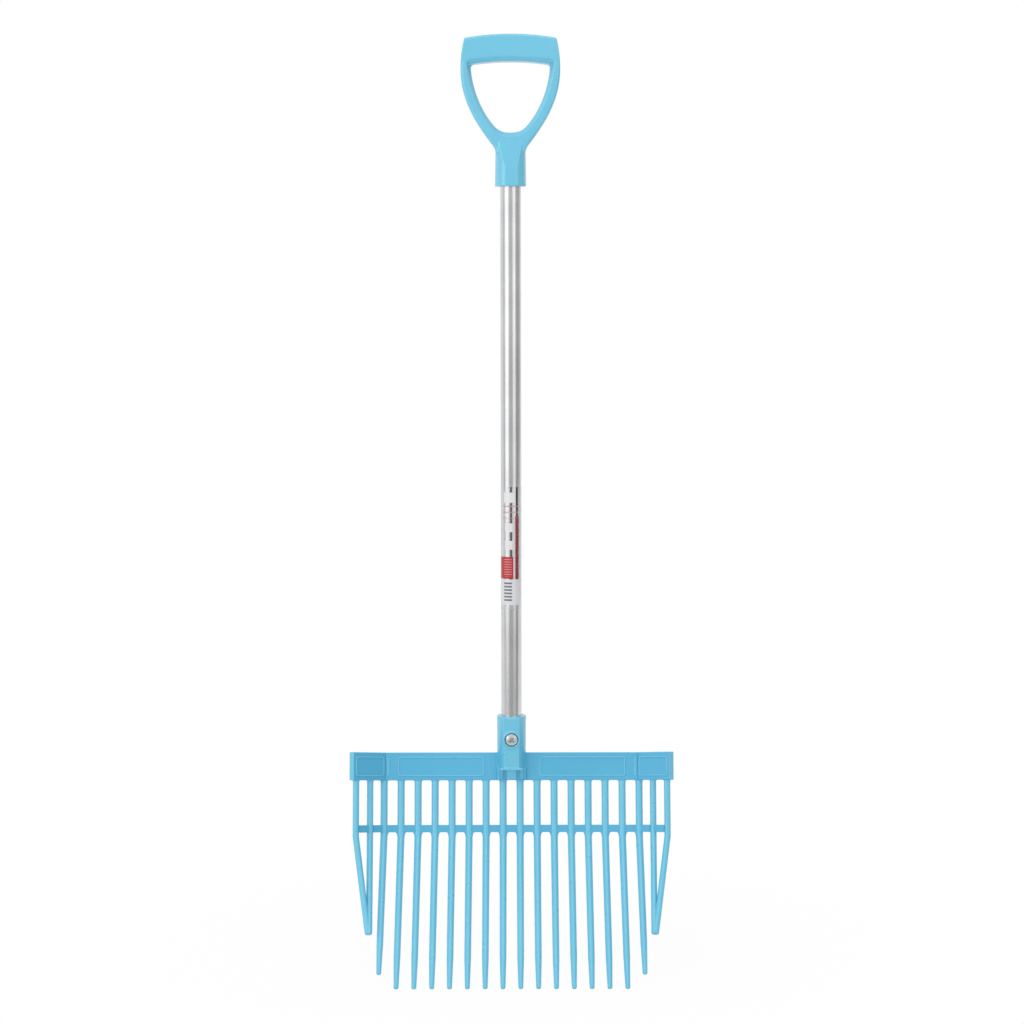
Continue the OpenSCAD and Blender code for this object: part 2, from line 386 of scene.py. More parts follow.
def addStreaks(tree, vector, scale, detail):
    # noise with its own scale on each axis
    stretch = tree.nodes.new("ShaderNodeMapping")
    feed(stretch, "Vector", vector)
    feed(stretch, "Scale", scale)
    return addNoise(tree, stretch.outputs["Vector"], 1, detail)


def addRange(tree, value, low, high, toLow, toHigh):
    spread = tree.nodes.new("ShaderNodeMapRange")
    feed(spread, "Value", value)
    feed(spread, "From Min", low)
    feed(spread, "From Max", high)
    feed(spread, "To Min", toLow)
    feed(spread, "To Max", toHigh)
    return spread.outputs["Result"]


def addMix(tree, factor, first, second):
    mix = tree.nodes.new("ShaderNodeMix")
    mix.data_type = "RGBA"
    feed(mix, "Factor", factor)
    for entry, colour in ((6, first), (7, second)):      # its two colours, by number as names repeat
        feed(mix, entry, (*colour, 1) if isinstance(colour, tuple) else colour)
    return mix.outputs[2]


def addMath(tree, operation, first, second=0.0):
    step = tree.nodes.new("ShaderNodeMath")
    step.operation = operation
    feed(step, 0, first)
    feed(step, 1, second)
    return step.outputs["Value"]


def multiply(tree, first, second):
    return addMath(tree, "MULTIPLY", first, second)


def largest(tree, first, second):
    return addMath(tree, "MAXIMUM", first, second)


def leftOver(tree, share):
    return addMath(tree, "SUBTRACT", 1.0, share)


def isWithin(tree, value, low, high):
    # one between the two limits, nothing outside them
    away = addMath(tree, "ABSOLUTE", addMath(tree, "SUBTRACT", value, (low + high) / 2))
    return addMath(tree, "LESS_THAN", away, (high - low) / 2)


def addBump(tree, height, strength, distance, below=None):
    bump = tree.nodes.new("ShaderNodeBump")
    feed(bump, "Height", height)
    feed(bump, "Strength", strength)
    feed(bump, "Distance", distance)
    if below:
        feed(bump, "Normal", below)
    return bump.outputs["Normal"]


plasticLook = {
    "deep": (0.108, 0.485, 0.680),
    "light": (0.126, 0.512, 0.704),
    "smoothest": 0.26,
    "roughest": 0.36,
}
# painted shade: a shaded copy of the same plastic, which paints the flat bars, the rail and the shaded parts
# of the head socket deeper in tone than the rounded pieces
shadedBarLook = {
    "deep": (0.050, 0.388, 0.618),
    "light": (0.061, 0.412, 0.642),
    "smoothest": 0.32,
    "roughest": 0.42,
}
# what all the plastic shares
wearAndPaintedLightLook = {
    "drift": (9, 3),
    "gloss": (70, 4),
    "grain": (1500, 2),
    "grainBump": (0.25, 0.00006),
    "flow": (160, 2),
    "flowBump": (0.15, 0.00025),
    "scratch": ((420, 420, 55), 4),
    "scuff": (0.210, 0.590, 0.765),
    "scuffFrom": (0.68, 0.86),
    "scuffShare": 0.3,
    "scuffRough": 0.15,
    # painted highlight on sharp edges and painted shade in hollow corners, chosen by pointiness
    "edge": (0.330, 0.690, 0.830),
    "edgeFrom": (0.53, 0.60),        # how sharp it is
    "corner": (0.030, 0.300, 0.530),
    "cornerFrom": (0.47, 0.38),      # how hollow it is
    "paintedLightShare": 0.7,
    "coat": 0.6,
    "coatRough": 0.12,
    "ior": 1.5,
    "specular": 0.9,
}


def makePlastic(name, look, paintedEdgeLightAndCoat=False, root=None):
    # root is a function for the share of painted shade, the bars' shaded tone, over the piece
    material, tree, shader, place = startMaterial(name)
    drift = addRange(tree, addNoise(tree, place, *wearAndPaintedLightLook["drift"]), *noiseSpan, 0, 1)
    body = addMix(tree, drift, look["deep"], look["light"])
    if root:
        body = addMix(tree, root(tree, place), body, shadedBarLook["deep"])
    scratch = addStreaks(tree, place, *wearAndPaintedLightLook["scratch"])
    scuff = addRange(tree, scratch, *wearAndPaintedLightLook["scuffFrom"], 0, wearAndPaintedLightLook["scuffShare"])
    body = addMix(tree, scuff, body, wearAndPaintedLightLook["scuff"])
    if paintedEdgeLightAndCoat:
        # painted highlight on sharp edges, painted shade deeper in the corners, with a polished skin
        sharp = tree.nodes.new("ShaderNodeNewGeometry").outputs["Pointiness"]
        for tone in ("edge", "corner"):
            share = addRange(tree, sharp, *wearAndPaintedLightLook[tone + "From"], 0, wearAndPaintedLightLook["paintedLightShare"])
            body = addMix(tree, share, body, wearAndPaintedLightLook[tone])
        feed(shader, "Coat Weight", wearAndPaintedLightLook["coat"])
        feed(shader, "Coat Roughness", wearAndPaintedLightLook["coatRough"])
    feed(shader, "Base Color", body)
    gloss = addNoise(tree, place, *wearAndPaintedLightLook["gloss"])
    rough = addRange(tree, gloss, *noiseSpan, look["smoothest"], look["roughest"])
    feed(shader, "Roughness", addMath(tree, "ADD", rough, multiply(tree, scuff, wearAndPaintedLightLook["scuffRough"])))
    grain = addBump(tree, addNoise(tree, place, *wearAndPaintedLightLook["grain"]), *wearAndPaintedLightLook["grainBump"])
    flow = addBump(tree, addNoise(tree, place, *wearAndPaintedLightLook["flow"]), *wearAndPaintedLightLook["flowBump"], grain)
    feed(shader, "Normal", flow)
    feed(shader, "IOR", wearAndPaintedLightLook["ior"])
    feed(shader, "Specular IOR Level", wearAndPaintedLightLook["specular"])
    return material


tubeLook = {
    "dull": (0.60, 0.605, 0.615),
    "bright": (0.68, 0.685, 0.69),
    "cloud": (24, 4),
    "lines": ((1700, 1700, 5), 3),
    "linesBump": (0.22, 0.00003),
    "smoothest": 0.23,
    "roughest": 0.31,
}


def makeAluminium():
    material, tree, shader, place = startMaterial("drawnAluminium")
    cloud = addRange(tree, addNoise(tree, place, *tubeLook["cloud"]), *noiseSpan, 0, 1)
    feed(shader, "Base Color", addMix(tree, cloud, tubeLook["dull"], tubeLook["bright"]))
    lines = addStreaks(tree, place, *tubeLook["lines"])
    rough = addRange(tree, lines, *noiseSpan, tubeLook["smoothest"], tubeLook["roughest"])
    feed(shader, "Roughness", rough)
    feed(shader, "Normal", addBump(tree, lines, *tubeLook["linesBump"]))
    feed(shader, "Metallic", 1)
    return material


zincLook = {
    "grey": (0.52, 0.53, 0.54),
    "pale": (0.74, 0.75, 0.76),
    "cloud": (300, 3),
    "cloudFrom": (0.35, 0.65),
    "cloudBump": (0.3, 0.00008),
    "flake": 900,
    "flakeFrom": (0, 0.8),
    "smoothest": 0.24,
    "roughest": 0.46,
}


def makeZinc():
    material, tree, shader, place = startMaterial("brightZinc")
    cloud = addNoise(tree, place, *zincLook["cloud"])
    tone = addRange(tree, cloud, *zincLook["cloudFrom"], 0, 1)
    feed(shader, "Base Color", addMix(tree, tone, zincLook["grey"], zincLook["pale"]))
    flake = tree.nodes.new("ShaderNodeTexVoronoi")
    feed(flake, "Vector", place)
    feed(flake, "Scale", zincLook["flake"])
    rough = addRange(tree, flake.outputs["Distance"], *zincLook["flakeFrom"],
                     zincLook["smoothest"], zincLook["roughest"])
    feed(shader, "Roughness", rough)
    feed(shader, "Normal", addBump(tree, cloud, *zincLook["cloudBump"]))
    feed(shader, "Metallic", 1)
    return material


# Clear film with plain blocks. An area's first two numbers are millimetres round the tube from its
# front, left to right, and the other two are heights from the film's own top
filmLook = {
    "bare": (0.90, 0.91, 0.92),
    "bareCover": 0.06,
    "blockCover": 0.97,
    "crease": ((60, 60, 25), 3),
    "creaseBump": (0.4, 0.0004),
    "smoothest": 0.10,
    "roughest": 0.22,
    "blocks": [
        {"area": (-1.2, 1.0, -154, -0.5), "colour": (0.045, 0.045, 0.05)},
        {"area": (7.0, 9.8, -154, -0.5), "colour": (0.050, 0.042, 0.044)},
        {"area": (-10.5, 4.0, -22, -8), "colour": (0.70, 0.70, 0.72)},
        {"area": (-13, 12.5, -43, -26), "step": 8.2, "share": 0.16, "colour": (0.50, 0.26, 0.27)},
        {"area": (-9.0, 2.2, -88, -50), "step": 24, "share": 0.50, "colour": (0.70, 0.68, 0.70)},
        {"area": (5.2, 12.0, -126, -41), "step": 1.9, "share": 0.62, "colour": (0.30, 0.026, 0.034)},
        {"area": (-19, 3.0, -126, -96), "colour": (0.43, 0.030, 0.040)},
        {"area": (-11, 0.8, -123, -99), "step": 3.4, "share": 0.34, "colour": (0.62, 0.22, 0.23)},
        {"area": (-17, 12.5, -162, -127), "colour": (0.64, 0.65, 0.67)},
        {"area": (-10.5, 1.0, -157, -131), "step": 4.6, "share": 0.52, "colour": (0.16, 0.16, 0.18)},
    ],
}


def addArea(tree, across, down, block):
    # a plain block, or bars of it with a step from one to the next
    left, right, bottom, top = block["area"]
    mask = multiply(tree, isWithin(tree, across, left, right), isWithin(tree, down, bottom, top))
    if "step" in block:
        steps = addMath(tree, "DIVIDE", addMath(tree, "SUBTRACT", top, down), block["step"])
        inBar = addMath(tree, "LESS_THAN", addMath(tree, "FRACT", steps), block["share"])
        mask = multiply(tree, mask, inBar)
    return mask


def makeFilm(radius, top):
    material, tree, shader, place = startMaterial("clearFilm")
    x, y, z = splitAxes(tree, place)
    across = multiply(tree, addMath(tree, "ARCTAN2", x, multiply(tree, y, -1.0)), radius / mm)
    down = addMath(tree, "DIVIDE", addMath(tree, "SUBTRACT", z, top), mm)
    colour, cover = filmLook["bare"], None
    for block in filmLook["blocks"]:
        mask = addArea(tree, across, down, block)
        colour = addMix(tree, mask, colour, block["colour"])
        cover = largest(tree, cover, mask) if cover else mask
    feed(shader, "Base Color", colour)
    feed(shader, "Alpha", addRange(tree, cover, 0, 1, filmLook["bareCover"], filmLook["blockCover"]))
    crease = addStreaks(tree, place, *filmLook["crease"])
    feed(shader, "Normal", addBump(tree, crease, *filmLook["creaseBump"]))
    rough = addRange(tree, crease, *noiseSpan, filmLook["smoothest"], filmLook["roughest"])
    feed(shader, "Roughness", rough)
    return material


plastic = makePlastic("mouldedSkyBlue", plasticLook)
# with painted highlight on its edges, painted shade in its corners, and a coat
bodyPlastic = makePlastic("paintedEdgeLightSkyBlue", plasticLook, paintedEdgeLightAndCoat=True)
# painted shade: the same plastic in a darker, shaded copy
shadedBarPlastic = makePlastic("shadedDeepBlue", shadedBarLook)
aluminium = makeAluminium()
zinc = makeZinc()
print("materials ready")

# Tines below the bend
tine = {
    "thick": 9.9,
    "shoulder": 9.0,
    "tip": 6.6,
    "tipRound": 1.8,
    "tipSweep": 84,      # degrees of the tip's rounding
    "tipSteps": 5,
    "point": 45,
    "long": 232,
    "edgeLong": 211,     # the outermost on each side
    "sides": 32,
    "bendSteps": 8,
}
wingTine = {
    "thick": 8.7,
    "end": 8.3,
    "tipRound": 2.6,
    "long": 147,
    "lean": 4.4,         # the tip's drift towards the middle
    "apart": 2.2,        # between the pair's two tips
}


def bendReach(turn):
    return layout["bendRadius"] * mm * math.tan(turn / 2)


def makeTine(thick, turn, stops, tipRound):
    # from the foot of its upright, round the bend and through the stops (distance, thickness) to a blunt tip
    reach = bendReach(turn)
    piece = addDisc(thick / 2, reach, tine["sides"])
    openEdit(piece)
    pickAll()
    bpy.ops.mesh.spin(steps=tine["bendSteps"], angle=turn, axis=(1, 0, 0),
                      center=(0, -layout["bendRadius"] * mm, reach))
    ahead = Vector((0, -math.sin(turn), -math.cos(turn)))
    gone, size = reach, thick
    end, endSize = stops[-1]
    turns = sweep(tine["tipSweep"], tine["tipSteps"])[1:]
    tip = [(end + tipRound * math.sin(a), endSize - 2 * tipRound * (1 - math.cos(a))) for a in turns]
    for distance, newSize in stops + tip:
        growRing(ahead * (distance * mm - gone), (newSize / size,) * 3, ahead * distance * mm)
        gone, size = distance * mm, newSize
    closeEdit()
    turnOutward(piece)
    return piece


def makeBaseTine(length):
    straight = length - tine["point"]
    stops = [(straight / 2, (tine["thick"] + tine["shoulder"]) / 2),
             (straight, tine["shoulder"]),
             (length - tine["tipRound"], tine["tip"])]
    return makeTine(tine["thick"], bendTurn, stops, tine["tipRound"])


def makeBaseTines():
    count = layout["baseTines"]
    longTine, edgeTine = makeBaseTine(tine["long"]), makeBaseTine(tine["edgeLong"])
    for k in range(1, count + 1):
        piece = copyPiece(edgeTine if k in (1, count) else longTine)
        placeAt(piece, wallFrame @ Matrix.Translation(((k - (count + 1) / 2) * pitch, 0, bendZ)))
        smoothShade(piece)
        dress(piece, "baseTine%02d" % k, plastic, "blue_plastic", "tine_%02d" % k)
    for pattern in (longTine, edgeTine):
        bpy.data.objects.remove(pattern)


def makeWingRod(start, end):
    # start and end in the wall's frame, metres
    run = end - start
    turn = math.acos(-run.z / run.length)
    swing = math.atan2(run.x, -run.y)
    stops = [(run.length / mm + wingTine["end"] / 2 - wingTine["tipRound"], wingTine["end"])]
    rod = makeTine(wingTine["thick"], turn, stops, wingTine["tipRound"])
    placeAt(rod, wallFrame @ Matrix.Translation(start) @ Matrix.Rotation(swing, 4, "Z"))
    return rod, turn


def makeWingTines():
    # each pair starts a pitch apart under its wing and runs to tips side by side
    step = wingFold.to_3x3() @ Vector((-pitch, 0, 0))
    inner = Vector((-foldX, 0, bendZ)) + step
    tip = inner + Vector((wingTine["lean"] * mm, -math.sin(bendTurn) * wingTine["long"] * mm,
                          -math.cos(bendTurn) * wingTine["long"] * mm))
    innerRod, innerTurn = makeWingRod(inner, tip)
    outerRod, outerTurn = makeWingRod(inner + step, tip - Vector((wingTine["apart"] * mm, 0, 0)))
    weld(innerRod, outerRod)
    turnOutward(innerRod)
    dressPair(innerRod, "wingTines", plastic, "blue_plastic", "wing_tines_")
    return innerTurn, outerTurn


makeBaseTines()
innerTurn, outerTurn = makeWingTines()
print("tines ready")

# Uprights between the back bar and the bend
upright = {
    "flare": 2.6,        # rounding where one leaves the bar
    "flareSteps": 5,
}


def makeUpright(thick, turn):
    top, foot = -barHalf * mm, bendZ + bendReach(turn)
    flare = upright["flare"]
    piece = addDisc(thick / 2, top, tine["sides"])
    openEdit(piece)
    pickAll()
    wide, height = thick / 2 + flare, top
    bpy.ops.transform.resize(value=(2 * wide / thick, 1, 1), center_override=(0, 0, top))
    for angle in sweep(90, upright["flareSteps"])[1:]:
        newWide = thick / 2 + flare * (1 - math.sin(angle))
        newHeight = top - flare * (1 - math.cos(angle)) * mm
        growRing((0, 0, newHeight - height), (newWide / wide, 1, 1), (0, 0, newHeight))
        wide, height = newWide, newHeight
    pull((0, 0, foot - height))
    closeEdit()
    turnOutward(piece)
    return piece


def makeUprights():
    pieces = placeRow(makeUpright(tine["thick"], bendTurn), layout["baseTines"])
    for steps, turn in ((1, innerTurn), (2, outerTurn)):
        pieces += placeOnWings(makeUpright(wingTine["thick"], turn), steps)
    whole = joinPieces(pieces)
    smoothShade(whole)
    dress(whole, "wallUprights", plastic, "blue_plastic", "wall_bars")


# Cross rail, arched under each gap between base tines
rail = {
    "drop": 85,
    "high": 10.0,
    "front": -3.0,
    "back": 2.0,
    "archWide": 2.9,
    "archHigh": 6.5,
    "archSteps": 6,
    "sink": 1.2,         # how far an end runs into its tine
    "edge": 0.5,
}


def makeRailRun(half, arched):
    top = -rail["drop"] + rail["high"] / 2
    bottom = -rail["drop"] - rail["high"] / 2
    low = bottom - (rail["archHigh"] if arched else 0)
    end = half + rail["sink"]
    run = addBlock((-end, rail["front"], low), (end, rail["back"], top))
    if arched:
        # rounded above, then stretched to the arch's height
        opening = addBlock((-half, -past, -past), (half, past, 0))
        openEdit(opening, "EDGE")
        pickEdges(opening, lambda a, b: a.z > -mm and b.z > -mm and abs(a.x - b.x) < 1e-6)
        bevelPicked(rail["archWide"], rail["archSteps"])
        pickAll()
        stretch = rail["archHigh"] / rail["archWide"]
        bpy.ops.transform.resize(value=(1, 1, stretch), center_override=(0, 0, 0))
        closeEdit()
        placeAt(opening, Matrix.Translation((0, 0, bottom * mm)))
        carve(run, opening)
    roundEdges(run, rail["edge"], segments=2, sharperThan=40)
    return run


def makeRail():
    gap = layout["pitch"] / 2 - tine["thick"] / 2
    pieces = placeRow(makeRailRun(gap, True), layout["baseTines"] - 1)
    for steps in (0.5, 1.5):
        pieces += placeOnWings(makeRailRun(gap, False), steps)
    whole = joinPieces(pieces)
    smoothShade(whole)
    dress(whole, "crossRail", shadedBarPlastic, "blue_plastic", "cross_rail")


makeUprights()
makeRail()
print("back wall ready")

# Back bar and folded wings, with bead frames in front and pockets behind
bar = {
    "deep": 10.0,
    "inner": 20.9,        # where the bar meets the socket's plinth
    "wall": 3.5,
    "floor": 3.5,
    "floorRim": 0.8,      # strip round a pocket's floor
    "floorDip": 0.001,
    "edge": 0.9,
    "wingLong": 54.6,
    # faces that get painted highlight: beads in front of the bar, faces that look up, and the strip at a
    # wing's end
    "highlightProud": 0.1,     # in front of the bar
    "highlightUp": 0.2,        # how far a pale face looks up
    "highlightOut": 0.3,       # or out, in the strip at a wing's end
    "highlightEnd": 3.0,
}
bead = {
    "wide": 1.9,
    "rise": 1.0,
    "sunk": 0.5,
    "round": 0.7,
    "corner": 3.6,
    "cornerSteps": 6,
    "high": 27.0,
    "panel": (-156.8, -38.0),
    "wingPanel": (-50.6, -3.2),
}
# short upright bead beside the fold
mark = {"left": -171.2, "right": -168.8, "half": 12.5, "rise": 0.6, "round": 0.4}
barFront = -bar["deep"] / 2
mitre = bar["deep"] / 2 * math.tan(math.radians(layout["wingFold"]) / 2)


def cutPockets(piece, ribs):
    openEdit(piece)
    cutAcross(alongX, ribs)
    pickFacing(piece, alongY)
    rim = bar["wall"] / 2
    bpy.ops.mesh.inset(thickness=rim * mm, depth=0, use_individual=True)
    squeeze = (barHalf - bar["wall"]) / (barHalf - rim)
    bpy.ops.transform.resize(value=(1, 1, squeeze), center_override=(0, 0, 0))
    pull((0, -(bar["deep"] - bar["floor"]) * mm, 0))
    bpy.ops.mesh.inset(thickness=bar["floorRim"] * mm, depth=-bar["floorDip"] * mm, use_individual=True)
    closeEdit()


def makeBead(left, right):
    # rounded frame, lying flat and then stood up to face the front
    frameBead = addShape(bpy.ops.mesh.primitive_plane_add, size=1)
    frameBead.scale = ((right - left) * mm, bead["high"] * mm, 1)
    applyPlace(frameBead)
    openEdit(frameBead, "VERT")
    pickAll()
    bevelPicked(bead["corner"], bead["cornerSteps"], "VERTICES")
    bpy.ops.mesh.select_mode(type="FACE")
    pickAll()
    bpy.ops.mesh.inset(thickness=bead["wide"] * mm, depth=0)
    bpy.ops.mesh.delete(type="FACE")
    pickAll()
    pull((0, 0, (bead["rise"] + bead["sunk"]) * mm))
    closeEdit()
    turnOutward(frameBead)
    roundEdges(frameBead, bead["round"], segments=4, sharperThan=50)
    place = ((left + right) / 2 * mm, (barFront + bead["sunk"]) * mm, 0)
    placeAt(frameBead, Matrix.Translation(place) @ Matrix.Rotation(quarter, 4, "X"))
    return frameBead


def makeMark():
    piece = addBlock((mark["left"], barFront - mark["rise"], -mark["half"]),
                     (mark["right"], 0, mark["half"]))
    roundEdges(piece, mark["round"], segments=2, sharperThan=40)
    return piece


def makeRun(left, right, fold, lean, ribs):
    # a length of bar, mitred at the fold, where lean draws its back edge to the left (-1) or the right (1)
    piece = addBlock((left, barFront, -barHalf), (right, -barFront, barHalf))
    openEdit(piece, "VERT")
    for side in (-1, 1):
        pickVerts(piece, lambda place: abs(place.x - fold * mm) < mm and place.y * side > 0)
        bpy.ops.transform.translate(value=(side * lean * mitre * mm, 0, 0))
    closeEdit()
    cutPockets(piece, ribs)
    roundEdges(piece, bar["edge"], segments=3, sharperThan=35)
    return piece


def paintEdgeHighlights(piece, end=-math.inf):
    # painted highlight: raised beads, top edges and what lies beyond the end given take the paler plastic,
    # lighter than the shaded panels
    for material in (shadedBarPlastic, plastic):
        piece.data.materials.append(material)
    openEdit(piece)
    pickFaces(piece, lambda place, normal: place.y < (barFront - bar["highlightProud"]) * mm
              or normal.z > bar["highlightUp"] or (normal.x < -bar["highlightOut"] and place.x < end * mm))
    piece.active_material_index = 1
    bpy.ops.object.material_slot_assign()
    closeEdit()


def makeBackBar():
    fold = -foldX / mm
    ribs = [-(k + 0.5) * layout["pitch"] for k in range(1, layout["baseTines"] // 2 - 1)]
    piece = makeRun(fold, -bar["inner"], fold, -1, ribs)
    weld(piece, makeBead(*bead["panel"]), makeMark())
    paintEdgeHighlights(piece)
    placeAt(piece, wallFrame)
    return piece


def makeWing():
    piece = makeRun(-bar["wingLong"], 0, 0, 1, [-layout["pitch"]])
    weld(piece, makeBead(*bead["wingPanel"]))
    paintEdgeHighlights(piece, bar["highlightEnd"] - bar["wingLong"])
    placeAt(piece, wallFrame @ wingFold)
    return piece


backBar, wing = makeBackBar(), makeWing()
dressPair(backBar, "backBar", shadedBarPlastic, "blue_plastic", "bar_")
dressPair(wing, "wing", shadedBarPlastic, "blue_plastic", "wing_")
print("bars ready")

# Head socket: barrel, front pad, plinth and the webs over the middle tines
socket = {
    "footRadius": 19.6,
    "mouthRadius": 20.0,
    "bore": 13.8,
    "boreDeep": 58,
    "brimRound": 1.2,
    "padHalf": 10.9,
    "padFront": 20.7,
    "padRoot": 12.0,
    "padDrop": 1.6,       # pad's top below the mouth
    "ledgeHalf": 14.6,
    "ledgeProud": 0.8,
    "ledge": (-1.6, 1.4),  # heights about the bar's middle
    "plinthHalf": 21.5,
    "plinthFace": 18.8,
    "plinthFront": 8.0,
    "webHalf": 6.8,
    "sideWeb": (11.3, 16.4),
    "webTop": 1.0,        # above the bar's middle
    "webSet": 2.2,        # behind the pad's front
    "webFoot": 16.2,
    "webRaise": 0.6,      # above the bar's foot
    "slotDeep": 2.6,
    "backPad": 24.2,
    "backPadHalf": 12,
    "rimRing": 10.3,
    "rimThick": 1.5,
    "rimProud": 0.7,
    "rimInner": 9.3,
    "seat": 19.2,
    "nutSeat": 18.2,
    "nutHole": 13.4,
    "boltHole": 4.2,
    "voxel": 0.6,
}
# where painted shade, the bars' shaded tone, darkens the socket, in millimetres and shares
socketShadeLook = {
    "sideFade": 1.5,      # out from the pad's sides
    "sideShare": 0.65,
    "start": 8,           # below the mouth
    "full": 12,           # above the bar's middle
    "ledgeHigh": 1.9,     # the pale ledge, up and down from the bar's middle
    "ledgeSpare": 0.3,
    "slotFade": (-0.2, 0.5),    # out from the middle web's sides
    "webShare": 0.4,
    "below": (-1.0, -2.5),      # down from the bar's middle
}


def socketPaintedShade(tree, place):
    # painted shade: the barrel's sides and the slots take the bars' shaded tone, the pad and its ledge stay
    # pale
    x, y, z = splitAxes(tree, place)
    aside = addMath(tree, "ABSOLUTE", x)
    mid, mouth, pad, web = layout["barMid"], layout["headMouth"], socket["padHalf"], socket["webHalf"]
    sides = addRange(tree, aside, pad * mm, (pad + socketShadeLook["sideFade"]) * mm, 0, socketShadeLook["sideShare"])
    fall = addRange(tree, z, (mouth - socketShadeLook["start"]) * mm, (mid + socketShadeLook["full"]) * mm, 0, 1)
    ledgeEnd, rise = (socket["ledgeHalf"] + socketShadeLook["ledgeSpare"]) * mm, socketShadeLook["ledgeHigh"]
    ledge = multiply(tree, isWithin(tree, z, (mid - rise) * mm, (mid + rise) * mm),
                     addMath(tree, "LESS_THAN", aside, ledgeEnd))
    sides = multiply(tree, sides, leftOver(tree, ledge))
    slotIn, slotOut = [(web + fade) * mm for fade in socketShadeLook["slotFade"]]
    slots = addRange(tree, aside, slotIn, slotOut, socketShadeLook["webShare"], 1)
    start, full = [(mid + drop) * mm for drop in socketShadeLook["below"]]
    below = addRange(tree, z, start, full, 0, 1)
    return largest(tree, multiply(tree, sides, fall), multiply(tree, slots, below))


def addWeb(left, right, sink=0.0):
    # leans from the ledge back to the foot of the bar, cut level with the bar's own foot
    mid, front = layout["barMid"], socket["padFront"] - socket["webSet"]
    foot = mid - barHalf * math.cos(wallTilt) + socket["webRaise"]
    web = addBlock((left, sink - front, foot), (right, 0, mid + socket["webTop"]))
    openEdit(web, "VERT")
    pickVerts(web, lambda place: place.y < -mm and place.z < (foot + 1) * mm)
    lift = socket["webFoot"] * math.tan(wallTilt)
    bpy.ops.transform.translate(value=(0, (front - socket["webFoot"]) * mm, lift * mm))
    closeEdit()
    return web


def addBarrel():
    mouth = layout["headMouth"]
    barrel = addSleeve(socket["footRadius"], socket["mouthRadius"], layout["barMid"], mouth)
    openEdit(barrel, "EDGE")
    pickEdges(barrel, lambda a, b: min(a.z, b.z) > (mouth - 0.1) * mm)
    bevelPicked(socket["brimRound"], segments=4)
    closeEdit()
    return barrel


def addPlinth():
    half = socket["plinthHalf"]
    plinth = addBlock((-half, barFront, -barHalf), (half, -barFront, barHalf))
    openEdit(plinth)
    pickFacing(plinth, -alongY)
    narrow = (socket["plinthFace"] / half, 1, 1)
    growRing((0, (-barFront - socket["plinthFront"]) * mm, 0), narrow, (0, 0, 0))
    closeEdit()
    placeAt(plinth, wallFrame)
    return plinth


def addRim(height):
    # raised ring round the bolt's head
    return addShape(bpy.ops.mesh.primitive_torus_add, major_segments=roundSides, minor_segments=24,
                    major_radius=socket["rimRing"] * mm, minor_radius=socket["rimThick"] * mm,
                    location=(0, (-socket["padFront"] - socket["rimProud"]) * mm, height * mm),
                    rotation=(quarter, 0, 0))


def makeHeadSocket():
    mid, mouth, boltZ = layout["barMid"], layout["headMouth"], layout["boltHeight"]
    front, root = -socket["padFront"], -socket["padRoot"]
    pad = addBlock((-socket["padHalf"], front, mid), (socket["padHalf"], root, mouth - socket["padDrop"]))
    low, high = socket["ledge"]
    ledge = addBlock((-socket["ledgeHalf"], front - socket["ledgeProud"], mid + low),
                     (socket["ledgeHalf"], root, mid + high))
    half = socket["backPadHalf"]
    backPad = addBlock((-half, 0, boltZ - half), (half, socket["backPad"], boltZ + half))
    web, (near, far) = socket["webHalf"], socket["sideWeb"]
    piece = addBarrel()
    weld(piece, addPlinth(), pad, ledge, backPad, addRim(boltZ), addWeb(-web, web), addWeb(near, far),
         addWeb(-far, -near), addWeb(-far, far, socket["slotDeep"]))
    bore = addSleeve(socket["bore"], socket["bore"], mouth - socket["boreDeep"], mouth + socket["boreDeep"])
    carve(piece, bore, addPin(socket["boltHole"], -past, past, boltZ),
          addPin(socket["rimInner"], -past, -socket["seat"], boltZ),
          addHexagon(socket["nutHole"], socket["nutSeat"], past, boltZ))
    melt(piece, socket["voxel"])
    dress(piece, "headSocket", shadedSocketPlastic, "blue_plastic", "head_socket")


# painted shade on the socket's barrel sides and slots, painted highlight on its edges and painted shade in
# its corners
shadedSocketPlastic = makePlastic("socketShadedSkyBlue", plasticLook, paintedEdgeLightAndCoat=True, root=socketPaintedShade)
makeHeadSocket()
print("head ready")

# D-grip. Outline points in millimetres: x, z, then the handles in and out, from the top middle down
grip = {
    "outline": [
        ((0, 38), (-24.4, 38), (24.4, 38)),
        ((61, 31.5), (45.8, 34.5), (61.3, 31.1)),
        ((61.8, 30.3), (61.5, 30.7), (64.6, 19)),
        ((67, -11), (67, 5), (67, -50)),
        ((24.2, -111), (47.5, -81), (21.7, -114.5)),
        ((20.2, -122), (20.2, -117), (20.2, -123)),
    ],
    "window": [
        ((0, 0), (-21.2, 0), (21.2, 0)),
        ((50.5, -3.7), (39.8, -2), (51.3, -4.6)),
        ((53, -6.5), (52.2, -5.6), (51.8, -34)),
        ((22, -85), (39.3, -65.6), (16, -91.7)),
        ((0, -94), (10, -94), (-10, -94)),
    ],
    "curveSteps": 16,
    "armHalf": 12.5,
    "armRound": 4.0,
    "armRoundSteps": 3,
    "chamferWide": 5.6,
    "chamferDeep": 7.0,
    "windowMid": -47,
    "windowHalf": (53, 47),
    "barHalf": (66.5, 16, 18.25),  # long, deep and high
    "barRound": (4.5, 9.0),        # top edges and lower edges
    "barRoundSteps": 8,
    "barDroop": 6.2,               # at the ends of the bar
    "barCuts": 12,
    "armTop": 14,
    "armTaper": (-68, -8),         # the arms thicken over these heights
    "armCuts": 20,
    "armThick": 15.9,
    "neckRadius": 20.2,
    "mouthRadius": 21.2,
    "bandHalf": 19.7,              # flat band, front and back of the socket
    "flareTop": -104,
    "flareFoot": -141,
    "bore": 14.2,
    "boreTop": -124,
    "screwHole": 2.3,
    "screwRecess": 5.5,
    "screwSeat": 17.95,
    "spare": 5,                    # cutters run on below the mouth
    "voxel": 0.85,
}


